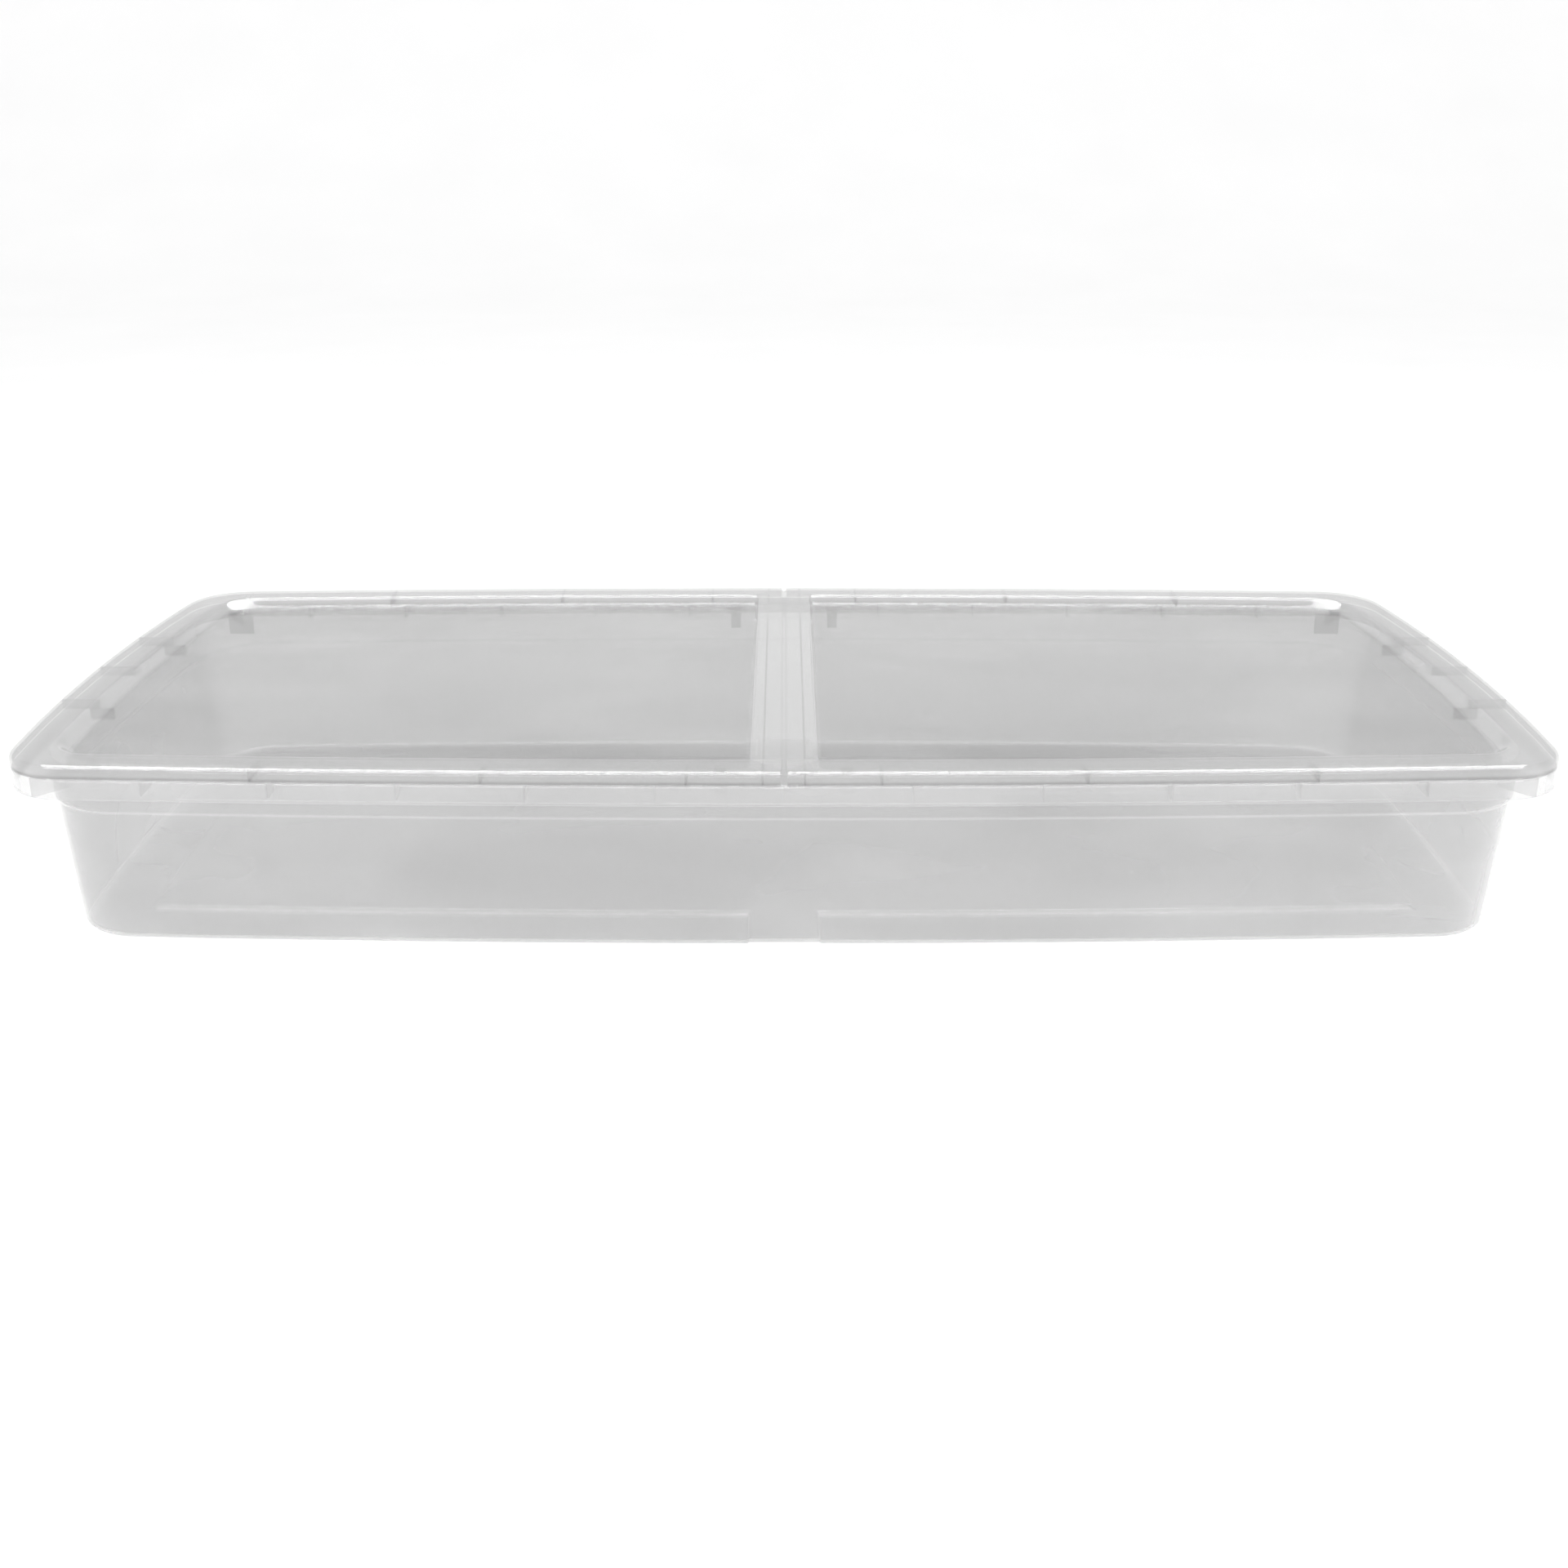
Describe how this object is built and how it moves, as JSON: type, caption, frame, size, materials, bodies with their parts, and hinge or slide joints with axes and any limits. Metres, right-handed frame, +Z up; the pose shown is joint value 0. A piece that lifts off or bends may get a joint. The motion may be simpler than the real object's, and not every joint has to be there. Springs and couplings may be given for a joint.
{
  "type": "under bed box",
  "caption": "Long shallow clear storage tray with a stepped floor and a lid that folds up in two halves about a living hinge across its middle.",
  "frame": {"origin": "on the surface the box stands on, under the middle of the box", "axes": "+X along the length, +Y across the width towards the back, +Z up"},
  "size_m": [1, 0.46, 0.13],
  "materials": {
    "clear_tray": "clear natural polypropylene, slightly hazy, glossy",
    "clear_lid": "clear natural polypropylene, slightly hazy, glossy"
  },
  "bodies": {
    "tray": {"tray": "clear_tray"},
    "hinge": {"living_hinge": "clear_lid"},
    "lid_left": {"lid_left": "clear_lid"},
    "lid_right": {"lid_right": "clear_lid"}
  },
  "joints": [
    {"name": "lid_lift", "type": "slide", "parent": "tray", "child": "hinge", "axis": [0, 0, 1], "range_m": [0, 0.15]},
    {"name": "lid_left_fold", "type": "hinge", "parent": "hinge", "child": "lid_left", "pos_m": [0, 0, 0.1302], "axis": [0, 1, 0], "range_deg": [0, 90]},
    {"name": "lid_right_fold", "type": "hinge", "parent": "hinge", "child": "lid_right", "pos_m": [0, 0, 0.1302], "axis": [0, -1, 0], "range_deg": [0, 90]}
  ]
}
